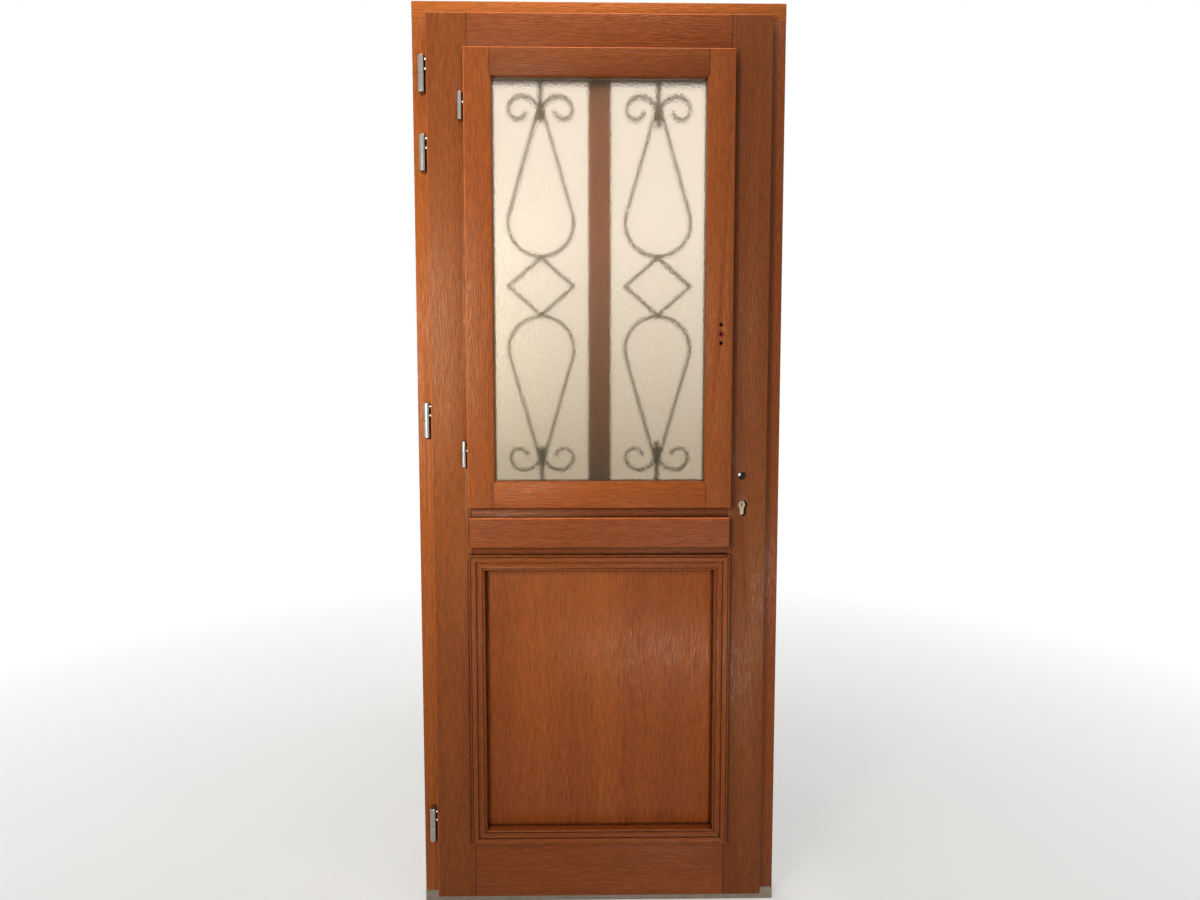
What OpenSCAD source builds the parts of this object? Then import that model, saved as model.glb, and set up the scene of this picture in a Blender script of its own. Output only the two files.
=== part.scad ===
// Glazed wooden front door in its frame: a panelled leaf hung on four barrel hinges, a glazed
// casement hung on the leaf, and two scrolled iron grilles behind the glass.
// Origin at the middle of the threshold's underside, +Z up, the room on the -Y side.

/* [Frame] */
// Overall width of the frame
frame_w = 868; // [780:1:1000]
// Overall height, from the threshold's underside to the top of the head
frame_h = 2170; // [2100:1:2400]
// Depth of the jambs and the head
frame_d = 68; // [64:1:90]
// Width of a jamb's room face, up to the rebate
jamb_face = 40; // [38:1:60]
// Height of the head's room face, up from the rebate
head_face = 40; // [30:1:90]
// How far the stop stands in from the rebate
stop_w = 20; // [15:1:28]
// Height of the threshold
threshold_h = 30; // [26:1:36]
// How far the threshold's sloping nose stands out of the frame
nose_d = 28; // [15:1:45]
// Wall of the hollow threshold
threshold_wall = 2.5; // [2:0.5:4]

/* [Leaf] */
// Thickness of the leaf
leaf_t = 58; // [56:1:64]
// How far the leaf stands proud of the frame's room face
leaf_proud = 20; // [18:1:24]
// How far the leaf's lip laps over the frame
lip_lap = 5; // [3:0.5:6]
// Width of a leaf stile, from the edge of the lip
stile_w = 93; // [90:1:110]
// Height of the top rail, from the edge of the lip
top_rail_h = 90; // [70:1:120]
// Height of the middle rail
mid_rail_h = 126; // [110:1:160]
// Height of the bottom rail, from the edge of the lip
bottom_rail_h = 144; // [120:1:200]
// Height of the middle rail's lower edge above the threshold's underside
mid_rail_z = 876; // [820:1:886]
// Radius of the rounded board edges
arris_r = 3; // [1:0.5:4]

/* [Casement] */
// Thickness of the casement
case_t = 44; // [42:1:46]
// How far the casement stands proud of the leaf
case_proud = 20; // [18:1:22]
// How far the casement's lip laps over the leaf
case_lap = 5; // [4:0.5:6]
// Face width of the casement's stiles and rails, up to the rounded inner edge
case_face = 59.5; // [58:0.5:66]
// Radius of the rounded inner edge
ovolo_r = 5.5; // [3:0.5:8]

/* [Glazing] */
// Thickness of one pane
pane_t = 4; // [3:0.5:5]
// Space between the two panes
pane_space = 16; // [12:1:16]
// How far the panes reach behind the sight edge
pane_lap = 12.5; // [10:0.5:13]
// Wood left in front of the inner pane
sight_t = 12; // [11:0.5:13]
// Width of the spacer bar round the panes
spacer_w = 9; // [6:0.5:10]

/* [Panel] */
// Thickness of the bottom panel
panel_t = 26; // [18:1:28]
// Depth of the panel's room face behind the leaf's room face
panel_in = 16; // [14:1:20]
// Width of the panel mouldings
mould_w = 37; // [32:1:45]
// How far the panel mouldings stand proud of the leaf
mould_proud = 12; // [9:0.5:14]
// How far the panel mouldings lap over the stiles and rails
mould_lap = 6.5; // [4:0.5:8]
// Height of the raised band on the middle rail
band_h = 72; // [50:1:76]
// Thickness of the raised band
band_t = 18; // [10:0.5:19]
// Height of the band's lower edge above the middle rail's lower edge
band_up = 26; // [18:1:28]
// How far the band laps over each stile
band_lap = 3; // [1:0.5:4]

/* [Weather bar] */
// Height of the weather bar
bar_h = 48; // [36:1:60]
// How far the weather bar stands out of the leaf
bar_out = 45; // [34:1:48]
// Gap from the weather bar's ends to the frame's stops
bar_end_gap = 8; // [7:1:20]

/* [Lights] */
// Width of the pieces that frame the two lights
light_w = 50; // [44:1:56]
// Height of the bottom piece of that frame
light_sill_h = 48; // [40:1:60]
// Height of the top piece of that frame
light_head_h = 47; // [40:1:60]
// Width of the mullion
mullion_w = 54; // [44:1:60]

/* [Grille] */
// Width of the grille's bars, seen from the front
iron_w = 6.5; // [5.5:0.5:8]
// Depth of the grille's bars
iron_d = 10; // [8:0.5:14]
// Half height of the middle diamond
diamond_h = 68; // [60:1:69]
// Half width of the middle diamond
diamond_w = 78; // [60:1:84]
// Radius of a teardrop's round end
drop_r = 78; // [70:1:82]
// How far a teardrop's round bar runs above the diamond's tip, where the two are welded
drop_up = 3; // [2:0.5:4]
// Height of a teardrop, from the foot of its round end to the middle of its collar
drop_len = 329; // [280:1:360]
// Length of a stem that shows, from the middle of its collar to the edge of the light
stem_show = 74; // [60:1:90]
// Room beside a teardrop, from the middle of its bar to the edge of the light
side_room = 36.5; // [30:0.5:45]
// Radius of a collar at its middle
collar_r = 12; // [10.5:0.5:14]
// Height of a collar
collar_h = 30; // [26:1:34]
// How far the right grille's stems run on past their collars
peg_len = 14; // [6:1:18]
// How far the grilles stand from the middle of their lights towards the mullion
grille_in = 2; // [0:0.5:4]
// Radius of the round stems
stem_r = 5.5; // [5.25:0.25:6]
// Depth of the stems' sockets
socket_d = 20; // [12:1:30]
// Distance of a scroll's highest point out from the stem
scroll_x = 44; // [43:0.5:47]
// Height of a scroll's highest point above its collar
scroll_up = 41.5; // [40:0.5:46]
// Radius of a scroll's open sweep
sweep_r = 41; // [40:0.5:43]
// Radius of a scroll's shoulder
shoulder_r = 31.5; // [29:0.5:34]
// Radius of a scroll's inner curl
curl_r = 21; // [19:0.5:23]

/* [Door hinges] */
// Radius of a barrel
hinge_r = 8; // [7:0.25:8.5]
// Length of a closed hinge
hinge_len = 83; // [76:1:90]
// Gap from a barrel to the frame's face and to the leaf's edge
hinge_gap = 3; // [2:0.25:4]
// Radius of the knuckle pin
knuckle_r = 4; // [3:0.25:5]
// Radius of the pins driven into the wood
driven_r = 3.5; // [2.5:0.25:4]
// How far those pins go into the wood
driven_in = 30; // [20:1:34]
// Height of the lowest hinge's middle above the leaf's lower edge
hinge_low = 182; // [120:1:260]
// Height of the third hinge's middle above the middle rail
hinge_mid = 202; // [150:1:260]
// Distance of the top hinge's middle from the leaf's upper edge
hinge_top = 134; // [100:1:160]
// Distance between the two upper hinges
hinge_pair = 177.5; // [110:0.5:240]

/* [Casement hinges] */
// Radius of a barrel
small_r = 6.25; // [5:0.25:6.5]
// Length of a closed hinge
small_len = 62; // [56:1:70]
// Gap from a barrel to the casement's edge
small_gap = 2.25; // [1.5:0.25:3]
// Radius of the knuckle pin
small_knuckle_r = 3; // [2:0.25:3.5]
// Radius of the pins driven into the wood
small_driven_r = 3; // [2:0.25:3.25]
// How far those pins go into the wood
small_driven_in = 26; // [18:1:30]
// Distance of each hinge's middle from the casement's nearer end
small_end = 127.5; // [90:0.5:200]

/* [Lock] */
// Height of the spindle above the threshold's underside
spindle_z = 1071.7; // [1040:0.1:1110]
// Distance from the forend's face to the spindle
backset = 50; // [45:0.5:52]
// Distance from the spindle down to the cylinder
lock_centres = 70; // [70:1:80]
// Depth of the lock's middle behind the frame's room face
lock_in = 14; // [13:0.5:18]
// Side of the follower's square hole
spindle_sq = 8; // [7:0.5:9]
// Radius of the spindle's hole in the stile
spindle_hole_r = 10; // [9.5:0.25:11]
// How far the latch bolt travels
latch_throw = 12; // [10:1:14]
// How far the dead bolt travels
bolt_throw = 20; // [15:1:20]
// Radius of the cylinder's head
cylinder_r = 8.5; // [8:0.1:9]
// Height of the cylinder's body
cylinder_h = 33; // [31:0.5:34]
// How far the cylinder's room end lies behind the leaf's face
cylinder_in = 4; // [0:0.5:8]
// Radius of the cylinder's plug
plug_r = 6.5; // [5.5:0.25:7]

/* [Window lock] */
// Height of the window handle's middle above the casement's lower edge, as a share of the casement's height
handle_share = 0.3882; // [0.35:0.0001:0.6]
// Distance from the casement's edge in to the window handle's middle
handle_in = 20.2; // [18:0.1:24]
// Distance between the window handle's two screws
handle_screws = 43; // [40:0.5:46]
// Radius of the window handle's screw holes
screw_hole_r = 4.5; // [3:0.25:5]
// Side of the window follower's square hole
window_sq = 7; // [6:0.5:8]
// How far the window bolt rod travels
rod_throw = 18; // [14:1:20]
// Distance of each roller from the window handle's middle, as a share of the casement's height
roller_share = 0.285; // [0.2:0.005:0.31]

/* [Fits] */
// Gap round the leaf in the frame, and round the casement in the leaf
leaf_gap = 3; // [2.5:0.25:3.5]
// Gap behind the lips
lip_gap = 0.5; // [0.4:0.1:0.8]
// Gap between the leaf or casement and the stop behind it
stop_gap = 2; // [1.5:0.25:3]
// Radial clearance of turning pins
running = 0.05; // [0.02:0.01:0.1]
// Clearance of pieces that are let into wood
easy = 0.2; // [0.1:0.05:0.3]
// Clearance of sliding bolts in their plates
sliding = 0.4; // [0.3:0.1:0.6]

/* [Hidden] */
$fn = 48;

wood = "#8f5230";
wood_dark = "#7d4527";
nickel = "#c4c2b8";
alloy = "#a3a29a";
iron = "#3a3b38";
rubber = "#2b2622";
glass = "#e8e2d6";
red_plastic = "#7a1a1e";
brass = "#b5a27c";
glass_alpha = 0.6;

// Frame and leaf, in plan: depths along Y and half widths along X
room_y = -frame_d / 2;
out_y = frame_d / 2;
leaf_front = room_y - leaf_proud;
leaf_back = leaf_front + leaf_t;
stop_y = leaf_back + stop_gap;
lip_back = room_y - lip_gap;
frame_x = frame_w / 2;
rebate_x = frame_x - jamb_face;
stop_x = rebate_x - stop_w;
leaf_x = rebate_x + lip_lap;
body_x = rebate_x - leaf_gap;
open_x = leaf_x - stile_w;

// Heights of the frame and the leaf
rebate_top = frame_h - head_face;
leaf_bot = threshold_h - lip_lap;
leaf_top = rebate_top + lip_lap;
body_bot = threshold_h + leaf_gap;
body_top = rebate_top - leaf_gap;
panel_bot = leaf_bot + bottom_rail_h;
mid_top = mid_rail_z + mid_rail_h;
open_top = leaf_top - top_rail_h;

// Casement
case_front = leaf_front - case_proud;
case_lip_back = leaf_front - lip_gap;
case_back = case_front + case_t;
case_x = open_x + case_lap;
case_body_x = open_x - leaf_gap;
case_bot = mid_top - case_lap;
case_top = open_top + case_lap;
case_body_bot = mid_top + leaf_gap;
case_body_top = open_top - leaf_gap;
joint_x = case_x - case_face;
sight_x = joint_x - ovolo_r;
sight_bot = case_bot + case_face + ovolo_r;
sight_top = case_top - case_face - ovolo_r;
pane_gap = 2;
glass_reb = pane_lap + pane_gap;
glass_front = case_front + sight_t;
glass_back = glass_front + 2 * pane_t + pane_space;

// Frame of the two lights
light_front = case_back + stop_gap;
light_x = open_x - light_w;
light_bot = mid_top + light_sill_h;
light_top = open_top - light_head_h;
grille_x = (mullion_w / 2 + light_x) / 2 - grille_in;
grille_y = (light_front + leaf_back) / 2;
grille_z = (light_bot + light_top) / 2;
light_half = (light_top - light_bot) / 2;
light_half_w = (light_x - mullion_w / 2) / 2;

// The grille's pattern follows the lights: heights their height, widths their width and curls both,
// while its bars keep their thickness
pattern_h = diamond_h + drop_up + drop_len + stem_show;
pattern_w = drop_r + side_room;
fit_h = light_half / pattern_h;
fit_w = light_half_w / pattern_w;
fit = sqrt(fit_h * fit_w);
tip = [fit_w * diamond_w, fit_h * diamond_h];
round_r = fit * drop_r;
round_z = tip.y + drop_up + round_r;
knob_z = light_half - fit_h * stem_show;

// Seals
seal_w = 8;
seal_t = stop_gap - lip_gap;
seal_in = 4;

// Hinges
hinge_x = -(leaf_x + hinge_gap + hinge_r);
hinge_y = room_y - hinge_gap - hinge_r;
hinge_z = [
    leaf_bot + hinge_low,
    mid_top + hinge_mid,
    leaf_top - hinge_top - hinge_pair,
    leaf_top - hinge_top
];
small_x = -(case_x + small_gap + small_r);
small_y = (case_front + case_lip_back) / 2;
small_z = [case_bot + small_end, case_top - small_end];
hinge_slit = 0.5;
knuckle_share = 0.74;
cap_r = 2;
driven_out = 8.5;
driven_step = 21.5;
small_step = 16.5;
bite = 1;

// Lock
lock_y = room_y + lock_in;
spindle_x = body_x - backset;
cylinder_z = spindle_z - lock_centres;
forend_t = 3;
forend_w = 20;
forend_up = 93;
forend_down = 142;
forend_x = body_x - forend_t;
case_w = 15;
case_wall = 1.2;
case_reach = 24;
case_up = 55;
case_down = 115;
case_x0 = spindle_x - case_reach;
case_z0 = spindle_z - case_down;
case_z1 = spindle_z + case_up;
latch_up = 2.3;
latch_z = spindle_z + latch_up;
latch_h = 20;
latch_w = 12;
latch_len = 18.5;
latch_tail = 18;
latch_tail_h = 8;
latch_tail_w = 6;
latch_nose = 10;
bolt_rest = 0.5;
bolt_up = 32.3;
bolt_z = cylinder_z + bolt_up;
bolt_h = 24;
bolt_w = 10;
bolt_len = 38;
hub_r = 9;
flange_r = 12;
arm_w = 6;
arm_r = 20;
cam_r = 14.5;
cam_w = 9;
cam_gap = 0.6;
cam_ring_r = 8;
cam_tongue_w = 7;
cylinder_foot_w = 10;
cylinder_out = 2;
key_w = 2.4;
key_h = 8.4;
key_d = 20;
cut_gap = 2.5;
cut_shift = 2.2;
strike_t = 2.5;
strike_w = 24;
strike_end = 14;
screw_r = 2.25;
screw_head_r = 4.2;

// Window lock
handle_x = case_body_x - handle_in;
handle_z = case_bot + handle_share * (case_top - case_bot);
roller_off = roller_share * (case_top - case_bot);
rod_y = (case_lip_back + case_back) / 2;
plate_t = 2.5;
plate_w = 16;
plate_end = 22;
plate_x = case_body_x - plate_t;
rod_t = 2;
rod_w = 11;
rod_x = plate_x - easy - rod_t;
rod_end = 14;
roller_r = 4;
roller_out = 5.5;
groove_w = plate_w + 2 * easy;
gear_w = 14;
gear_wall = 1.2;
gear_reach = 11;
gear_x0 = handle_x - gear_reach;
gear_h = 110;
window_hub_r = 6.3;
window_hole_r = 7;
window_hub_in = 3;
window_flange_r = 9;
keep_depth = 4.3;
keep_w = 3.4;
keep_h = 16;
keep_end = 4;

// Sweep a (y, z) outline along X, a (x, y) outline along Z, or a (x, z) outline along Y
module along_x(x0, x1) {
    translate([x0, 0, 0]) rotate([90, 0, 90]) linear_extrude(x1 - x0) children();
}

module along_z(z0, z1) {
    translate([0, 0, z0]) linear_extrude(z1 - z0) children();
}

module along_y(y0, y1) {
    translate([0, y1, 0]) rotate([90, 0, 0]) linear_extrude(y1 - y0) children();
}

// A rectangle from corner p to corner q
module rect(p, q) {
    translate([min(p.x, q.x), min(p.y, q.y)]) square([abs(q.x - p.x), abs(q.y - p.y)]);
}

// What a rounded edge of radius r takes off at corner p; s points into the wood
module arris(p, r, s) {
    difference() {
        rect(p - s, p + s * r);
        translate(p + s * r) circle(r);
    }
}

// A solid box from corner p to corner q
module block(p, q) {
    translate([min(p.x, q.x), min(p.y, q.y), min(p.z, q.z)])
        cube([abs(q.x - p.x), abs(q.y - p.y), abs(q.z - p.z)]);
}

module rod_along_x(p, r, len) {
    translate(p) rotate([0, 90, 0]) cylinder(r = r, h = len);
}

module rod_along_y(p, r, len) {
    translate(p) rotate([-90, 0, 0]) cylinder(r = r, h = len);
}

// A slot with round ends, w wide and h tall, about the origin
module slot(w, h) {
    rect([-w / 2, w / 2 - h / 2], [w / 2, h / 2 - w / 2]);
    for (s = [-1, 1]) translate([0, s * (h / 2 - w / 2)]) circle(d = w);
}

// Frame

// Section of the right jamb, with the groove that holds the seal's foot
module jamb_section() {
    difference() {
        union() {
            rect([rebate_x, room_y], [frame_x, out_y]);
            rect([stop_x, stop_y], [rebate_x, out_y]);
        }
        arris([frame_x, room_y], arris_r, [-1, 1]);
        arris([rebate_x, room_y], arris_r, [1, 1]);
        arris([stop_x, out_y], arris_r, [1, -1]);
        seal_groove([(stop_x + rebate_x) / 2, stop_y]);
    }
}

module seal_groove(p) {
    rect(p - [seal_in / 2 - easy, bite], p + [seal_in / 2 - easy, seal_in + easy]);
}

module frame_hinge_jamb() {
    color(wood) difference() {
        mirror([1, 0, 0]) along_z(threshold_h, rebate_top) jamb_section();
        for (z = hinge_z) for (d = driven_zs(hinge_len))
            rod_along_y([hinge_x, room_y - bite, z - d], driven_r + easy / 2, driven_in + 2 * bite);
    }
}

module frame_lock_jamb() {
    color(wood) difference() {
        along_z(threshold_h, rebate_top) jamb_section();
        along_x(rebate_x - bite, rebate_x + strike_t) strike_outline(easy);
        along_x(rebate_x, rebate_x + latch_throw + strike_t) latch_slot(2 * sliding);
        along_x(rebate_x, rebate_x + bolt_throw + strike_t) bolt_slot(2 * sliding);
        for (z = strike_screws())
            rod_along_x([rebate_x, lock_y, z], screw_r - easy, driven_in);
    }
}

// The head runs over the jambs, and its stop drops between theirs
module frame_head() {
    color(wood) difference() {
        union() {
            along_x(-frame_x, frame_x) difference() {
                rect([room_y, rebate_top], [out_y, frame_h]);
                arris([room_y, frame_h], arris_r, [1, -1]);
            }
            along_x(-stop_x, stop_x) difference() {
                rect([stop_y, rebate_top - stop_w], [out_y, rebate_top]);
                arris([out_y, rebate_top - stop_w], arris_r, [-1, 1]);
            }
        }
        along_x(-stop_x - bite, stop_x + bite)
            rect([stop_y - bite, rebate_top - stop_w / 2 - seal_in / 2 + easy],
                 [stop_y + seal_in + easy, rebate_top - stop_w / 2 + seal_in / 2 - easy]);
    }
}

// Hollow section with a flat top, a sloping nose with a drip, and a stop ridge between the jambs
ridge_y = stop_y + stop_gap;
ridge_t = 8;
ridge_h = 18;
ridge_top = threshold_h + ridge_h;
nose_front_h = 10;
nose_bot = 6;
module threshold() {
    mid_y = (room_y + out_y) / 2;
    color(alloy) union() {
        along_x(-frame_x, frame_x) difference() {
            polygon([
                [room_y, 0], [out_y, 0], [out_y, nose_bot], [out_y + nose_d, nose_bot],
                [out_y + nose_d, nose_bot + nose_front_h], [out_y, threshold_h], [room_y, threshold_h]
            ]);
            rect([room_y + threshold_wall, threshold_wall],
                 [mid_y - threshold_wall / 2, threshold_h - threshold_wall]);
            rect([mid_y + threshold_wall / 2, threshold_wall],
                 [out_y - threshold_wall, threshold_h - threshold_wall]);
            translate([out_y + nose_d - 2 * threshold_wall, nose_bot]) circle(threshold_wall / 2);
        }
        along_x(-stop_x, stop_x) difference() {
            rect([ridge_y, threshold_h - threshold_wall / 2], [ridge_y + ridge_t, ridge_top]);
            arris([ridge_y, ridge_top], arris_r, [1, -1]);
            arris([ridge_y + ridge_t, ridge_top], arris_r, [-1, -1]);
        }
    }
}

// A seal's section about its middle: a round cushion towards -Y, on a foot in the stop's groove
module seal_foot() {
    rect([-seal_in / 2 + 2 * easy, -easy], [seal_in / 2 - 2 * easy, seal_in]);
}

module seal_cushion() {
    intersection() {
        rect([-seal_w / 2, -seal_t], [seal_w / 2, 0]);
        translate([0, seal_w - seal_t]) circle(seal_w);
    }
}

module frame_seal() {
    seal_x = (stop_x + rebate_x) / 2;
    seal_z = rebate_top - stop_w / 2;
    color(rubber) union() {
        for (s = [-1, 1]) along_z(ridge_top, seal_z) translate([s * seal_x, stop_y]) {
            seal_cushion();
            seal_foot();
        }
        along_x(-seal_x - seal_w / 2, seal_x + seal_w / 2)
            translate([stop_y, seal_z]) rotate(-90) seal_cushion();
        along_x(-stop_x, stop_x) translate([stop_y, seal_z]) rotate(-90) seal_foot();
    }
}

// Leaf

// The lip's edges are rounded along both its length and its ends
module leaf_lip(x0, x1, z0, z1) {
    intersection() {
        along_z(z0, z1) difference() {
            rect([x0, leaf_front], [x1, lip_back]);
            for (s = [-1, 1]) arris([s * leaf_x, leaf_front], arris_r, [-s, 1]);
        }
        along_x(x0, x1) difference() {
            rect([leaf_front, z0], [lip_back, z1]);
            arris([leaf_front, leaf_bot], arris_r, [1, 1]);
            arris([leaf_front, leaf_top], arris_r, [1, -1]);
        }
    }
}

module leaf_stile_blank() {
    leaf_lip(open_x, leaf_x, leaf_bot, leaf_top);
    along_z(body_bot, body_top) difference() {
        rect([open_x, lip_back - bite], [body_x, leaf_back]);
        arris([body_x, leaf_back], arris_r, [-1, -1]);
    }
}

module leaf_hinge_stile() {
    color(wood) difference() {
        mirror([1, 0, 0]) leaf_stile_blank();
        for (z = hinge_z) for (d = driven_zs(hinge_len))
            rod_along_x([-leaf_x - bite, hinge_y, z + d], driven_r + easy / 2, driven_in + 2 * bite);
        for (z = small_z)
            rod_along_y([small_x, leaf_front - bite, z - small_driven_z()],
                        small_driven_r + easy / 2, small_driven_in + 2 * bite);
    }
}

module leaf_lock_stile() {
    color(wood) difference() {
        leaf_stile_blank();
        block([case_x0 - easy, lock_y - case_w / 2 - easy, case_z0 - easy],
              [body_x + bite, lock_y + case_w / 2 + easy, case_z1 + easy]);
        along_x(forend_x - easy, body_x + bite) forend_outline(easy);
        for (z = forend_screws())
            rod_along_x([forend_x - driven_in, lock_y, z], screw_r - easy, driven_in);
        rod_along_y([spindle_x, leaf_front - bite, spindle_z], spindle_hole_r, leaf_t + 2 * bite);
        along_y(leaf_front - bite, leaf_back + bite)
            translate([spindle_x + cut_shift, cylinder_z]) cylinder_outline(cut_gap);
        for (s = [-1, 1]) keep_pocket(handle_z + s * roller_off);
    }
}

module leaf_top_rail() {
    color(wood) union() {
        leaf_lip(-open_x, open_x, open_top, leaf_top);
        block([-open_x, lip_back - bite, open_top], [open_x, leaf_back, body_top]);
    }
}

module leaf_mid_rail() {
    color(wood) block([-open_x, leaf_front, mid_rail_z], [open_x, leaf_back, mid_top]);
}

module leaf_bottom_rail() {
    color(wood) union() {
        leaf_lip(-open_x, open_x, leaf_bot, panel_bot);
        block([-open_x, lip_back - bite, body_bot], [open_x, leaf_back, panel_bot]);
    }
}

// A flat board with rounded edges, laid on the middle rail
module mid_rail_band() {
    z0 = mid_rail_z + band_up;
    z1 = z0 + band_h;
    x1 = open_x + band_lap;
    y0 = leaf_front - band_t;
    color(wood) intersection() {
        along_x(-x1, x1) difference() {
            rect([y0, z0], [leaf_front, z1]);
            arris([y0, z0], arris_r, [1, 1]);
            arris([y0, z1], arris_r, [1, -1]);
        }
        along_z(z0, z1) difference() {
            rect([-x1, y0], [x1, leaf_front]);
            for (s = [-1, 1]) arris([s * x1, y0], arris_r, [-s, 1]);
        }
    }
}

panel_front = leaf_front + panel_in;
panel_back = panel_front + panel_t;
panel_x = open_x - lip_gap;
module bottom_panel() {
    color(wood) block([-panel_x, panel_front, panel_bot + lip_gap],
                      [panel_x, panel_back, mid_rail_z - lip_gap]);
}

// Section of a panel moulding: u runs in from its outer edge, v out from the leaf's face.
// A low outer fillet, a raised flat band, a hollow and a bead at the inner edge, with narrow quirks
// between them that draw dark lines.
fillet_u = 5.5;
fillet_drop = 2;
band_u = 17;
step_v = 3.5;
hollow_dip = 2;
quirk_w = 1.4;
quirk_d = 2;
bead_w = 4.5;
bead_r = 2.1;
module moulding_section(seat) {
    hollow_end = mould_w - bead_w - quirk_w;
    hollow_half = (hollow_end - band_u) / 2;
    hollow_r = (hollow_half * hollow_half + hollow_dip * hollow_dip) / (2 * hollow_dip);
    fillet_v = mould_proud - fillet_drop;
    second_v = mould_proud - step_v;
    difference() {
        union() {
            rect([0, 0], [mould_lap, fillet_v]);
            rect([mould_lap, -seat], [band_u, fillet_v]);
            rect([fillet_u, 0], [band_u, mould_proud]);
            rect([band_u, -seat], [mould_w, second_v]);
        }
        arris([0, fillet_v], arris_r / 2, [1, -1]);
        arris([fillet_u, mould_proud], fillet_drop / 2, [1, -1]);
        arris([band_u, mould_proud], arris_r / 2, [-1, -1]);
        intersection() {
            translate([band_u + hollow_half, second_v - hollow_dip + hollow_r]) circle(hollow_r, $fn = 96);
            rect([band_u, second_v - 2 * hollow_dip], [hollow_end, second_v + bite]);
        }
        rect([fillet_u - quirk_w, fillet_v - quirk_d], [fillet_u, fillet_v + bite]);
        rect([band_u, second_v - quirk_d], [band_u + quirk_w, second_v + bite]);
        rect([hollow_end, second_v - quirk_d], [mould_w - bead_w, second_v + bite]);
        arris([mould_w - bead_w, second_v], bead_r, [1, -1]);
        arris([mould_w, second_v], bead_r, [-1, -1]);
    }
}

// The four mitred lengths of a moulding: side 0 left, 1 right, 2 top, 3 bottom
mould_x = open_x + mould_lap;
mould_z0 = panel_bot - mould_lap;
mould_z1 = mid_rail_z + mould_lap;
mitre_gap = 0.1;
module moulding_outline(side) {
    left = [[-mould_x, mould_z0], [-mould_x, mould_z1],
            [mould_w - mould_x, mould_z1 - mould_w], [mould_w - mould_x, mould_z0 + mould_w]];
    top_x = mould_x - mitre_gap;
    top = [[-top_x, mould_z1], [top_x, mould_z1],
           [top_x - mould_w, mould_z1 - mould_w], [mould_w - top_x, mould_z1 - mould_w]];
    bottom = [for (p = top) [p.x, mould_z0 + mould_z1 - p.y]];
    right = [for (p = left) [-p.x, p.y]];
    polygon([left, right, top, bottom][side]);
}

// face is the leaf's face that the moulding lies on, dir the way it stands out along Y
module moulding(side, face, dir, seat) {
    y_far = face + dir * mould_proud;
    y_near = face - dir * seat;
    intersection() {
        along_y(min(y_far, y_near) - bite, max(y_far, y_near) + bite) moulding_outline(side);
        moulding_run(side, face, dir) moulding_section(seat);
    }
}

module moulding_run(side, face, dir) {
    if (side < 2) {
        s = side == 0 ? 1 : -1;
        along_z(mould_z0, mould_z1)
            translate([-s * mould_x, face]) scale_signs(s, dir) children();
    } else {
        s = side == 2 ? -1 : 1;
        along_x(-mould_x, mould_x)
            translate([face, s < 0 ? mould_z1 : mould_z0]) swap_axes(s, dir) children();
    }
}

// Lay a (u, v) section with u along sx and v along sy, or with the two axes changed over
module scale_signs(sx, sy) {
    mirror([sx < 0 ? 1 : 0, 0]) mirror([0, sy < 0 ? 1 : 0]) children();
}

module swap_axes(su, sv) {
    mirror([sv < 0 ? 1 : 0, 0]) mirror([0, su < 0 ? 1 : 0]) mirror([1, -1]) children();
}

module inner_moulding(side) {
    color(wood_dark) moulding(side, leaf_front, -1, panel_in);
}

module outer_moulding() {
    color(wood_dark) for (side = [0:3]) moulding(side, leaf_back, 1, leaf_back - panel_back);
}

// Sloping bar that throws rain clear of the threshold, with a drip groove underneath
module weather_bar() {
    z0 = ridge_top + stop_gap;
    x1 = stop_x - bar_end_gap;
    nose_h = bar_h / 3;
    drip_r = 3;
    drip_in = 12;
    color(wood) along_x(-x1, x1) difference() {
        polygon([
            [leaf_back, z0], [leaf_back + bar_out, z0], [leaf_back + bar_out, z0 + nose_h],
            [leaf_back + bar_out / 2, z0 + 2 * nose_h], [leaf_back, z0 + bar_h]
        ]);
        arris([leaf_back + bar_out, z0], arris_r, [-1, 1]);
        translate([leaf_back + bar_out - drip_in, z0]) circle(drip_r);
    }
}

// Lights behind the casement

module light_frame_side(s) {
    color(wood) along_z(mid_top, open_top) difference() {
        rect([s * light_x, light_front], [s * open_x, leaf_back]);
        arris([s * light_x, light_front], arris_r, [s, 1]);
        arris([s * light_x, leaf_back], arris_r, [s, -1]);
    }
}

// The top and bottom pieces are drilled for the grilles' stems
module light_frame_rail(z_edge, z_open) {
    s = z_edge > z_open ? 1 : -1;
    color(wood) difference() {
        along_x(-light_x, light_x) difference() {
            rect([light_front, z_open], [leaf_back, z_edge]);
            arris([light_front, z_open], arris_r, [1, s]);
            arris([leaf_back, z_open], arris_r, [-1, s]);
        }
        for (x = [-grille_x, grille_x])
            translate([x, grille_y, z_open + s * (socket_d + easy) / 2])
                cylinder(r = stem_r + easy / 2, h = socket_d + easy + 2 * bite, center = true);
    }
}

module light_mullion() {
    color(wood) along_z(light_bot, light_top) difference() {
        rect([-mullion_w / 2, light_front], [mullion_w / 2, leaf_back]);
        for (s = [-1, 1]) {
            arris([s * mullion_w / 2, light_front], arris_r, [-s, 1]);
            arris([s * mullion_w / 2, leaf_back], arris_r, [-s, -1]);
        }
    }
}

// A straight bar from p to q, w wide
module iron_bar(p, q, w) {
    n = [p.y - q.y, q.x - p.x] / norm(q - p) * w / 2;
    polygon([p + n, q + n, q - n, p - n]);
}

// A curved bar about c, w wide, from angle a0 up to angle a1
module iron_arc(c, r, w, a0, a1) {
    steps = 6;
    far = 2 * r;
    translate(c) intersection() {
        difference() {
            circle(r + w / 2, $fn = 96);
            circle(r - w / 2, $fn = 96);
        }
        polygon(concat([[0, 0]], [
            for (i = [0:steps])
                far * [cos(a0 + (a1 - a0) * i / steps), sin(a0 + (a1 - a0) * i / steps)]
        ]));
    }
}

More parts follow.
